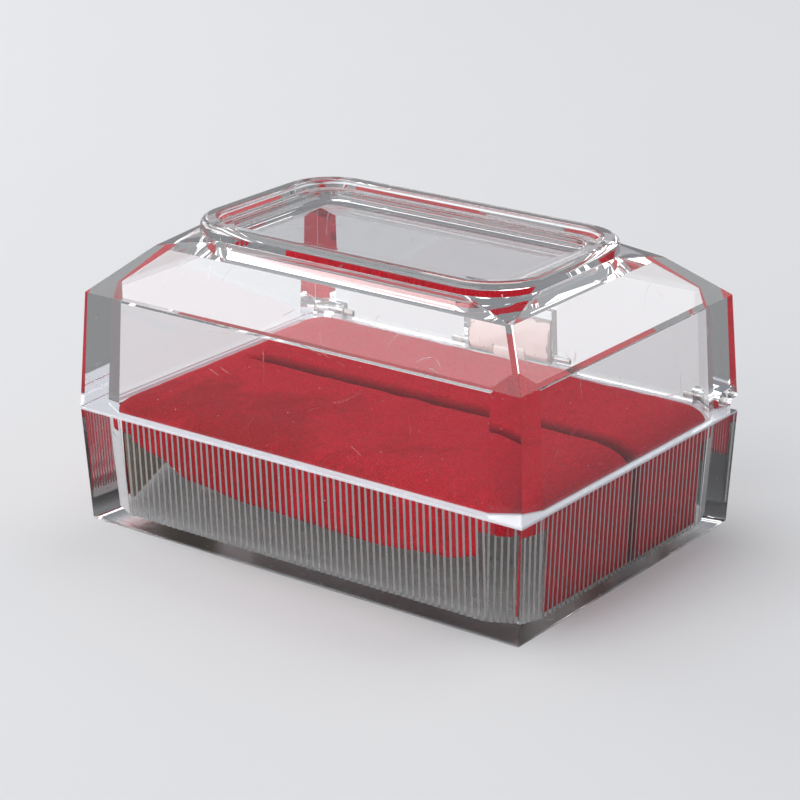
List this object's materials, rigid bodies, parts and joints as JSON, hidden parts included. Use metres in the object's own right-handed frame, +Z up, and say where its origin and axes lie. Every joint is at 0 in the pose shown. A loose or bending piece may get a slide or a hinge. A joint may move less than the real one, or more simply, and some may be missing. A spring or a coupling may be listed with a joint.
{
  "type": "ring display box",
  "caption": "Hinged clear plastic ring box with a sloped lid, fluted base, spring leaf hinge and a velvet covered pad with a ring slit.",
  "frame": {"origin": "centre of the base's underside", "axes": "+Z up, +X along the long side, +Y towards the hinge"},
  "size_m": [0.076, 0.054, 0.0444],
  "materials": {
    "clear_plastic": "clear, polished, lightly scratched",
    "steel": "dull drawn wire",
    "cream_steel": "cream lacquer with small chips",
    "card": "plain grey-brown board",
    "foam": "soft open foam",
    "velvet": "short pile, deep red"
  },
  "bodies": {
    "base": {"base_shell": "clear_plastic", "spring_strip": "cream_steel", "card_former": "card", "foam_back": "foam", "foam_front": "foam", "velvet_cover": "velvet"},
    "lid": {"lid_shell": "clear_plastic", "hinge_pin_left": "steel", "hinge_pin_right": "steel", "spring_pin": "steel"},
    "spring": {"spring_leaf": "cream_steel"}
  },
  "joints": [
    {"name": "lid_hinge", "type": "hinge", "parent": "base", "child": "lid", "pos_m": [0, 0.02575, 0.01865], "axis": [-1, 0, 0], "range_deg": [0, 93]},
    {"name": "leaf_hinge", "type": "hinge", "parent": "base", "child": "spring", "pos_m": [0, 0.02575, 0.01865], "axis": [-1, 0, 0], "range_deg": [0, 41]}
  ],
  "couplings": [
    {"joint": "leaf_hinge", "follows": "lid_hinge", "ratio": 0.43}
  ]
}
